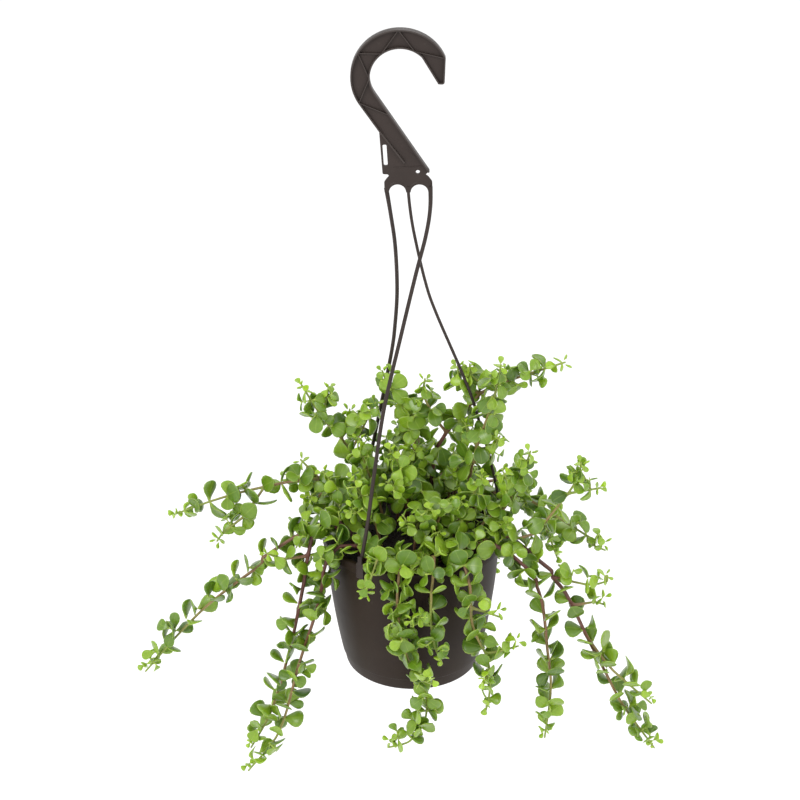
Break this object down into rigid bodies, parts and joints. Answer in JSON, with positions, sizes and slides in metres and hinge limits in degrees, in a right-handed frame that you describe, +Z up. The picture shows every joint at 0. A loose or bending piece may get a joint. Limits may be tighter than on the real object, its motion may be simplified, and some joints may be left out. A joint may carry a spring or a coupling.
{
  "type": "potted elephant bush in a hanging pot",
  "caption": "Trailing succulent with small round fleshy leaves in a tapered round pot, held by a flanged hook and three strands that clip over the pot's lip.",
  "frame": {"origin": "the hook's seat: the highest point of the hook's inner arc, where the hook rests on what it hangs from", "axes": "+Z up along the hanging direction, +X along the flat hook towards its open tip, -Y towards the side from which the hook's flat face is seen"},
  "size_m": [0.4574, 0.2581, 0.6767],
  "materials": {
    "pot": "satin",
    "hanger": "satin",
    "soil": "crumbly, matt",
    "leaf": "fleshy, satin",
    "stem": "smooth bark"
  },
  "bodies": {
    "root": {"pot": "pot", "hanger": "hanger", "soil": "soil", "shoot_main": "leaf", "shoot_centre": "leaf", "shoot_centre_front": "leaf", "shoot_left_long": "leaf", "shoot_left_trailing": "leaf", "shoot_left_hanging": "leaf", "shoot_left_upper": "leaf", "shoot_left_tall": "leaf", "shoot_right_upper": "leaf", "shoot_right_standing": "leaf", "shoot_right_arching": "leaf", "shoot_right_rising": "leaf", "shoot_right_long": "leaf", "shoot_right_hanging": "leaf", "shoot_front_long": "leaf", "shoot_front_short": "leaf", "shoot_front_right": "leaf", "shoot_front_left": "leaf", "shoot_crown_left": "leaf", "shoot_crown_right": "leaf", "shoot_crown_front_left": "leaf", "shoot_crown_front": "leaf", "shoot_crown_front_right": "leaf", "shoot_crown_side_left": "leaf", "shoot_crown_back": "leaf", "shoot_back_left": "leaf", "shoot_back_centre": "leaf", "shoot_back_right": "leaf", "shoot_back_low": "leaf", "shoot_crown_back_left": "leaf", "shoot_crown_back_right": "leaf", "shoot_crown_back_low": "leaf", "shoot_back_hanging": "leaf"}
  },
  "joints": []
}
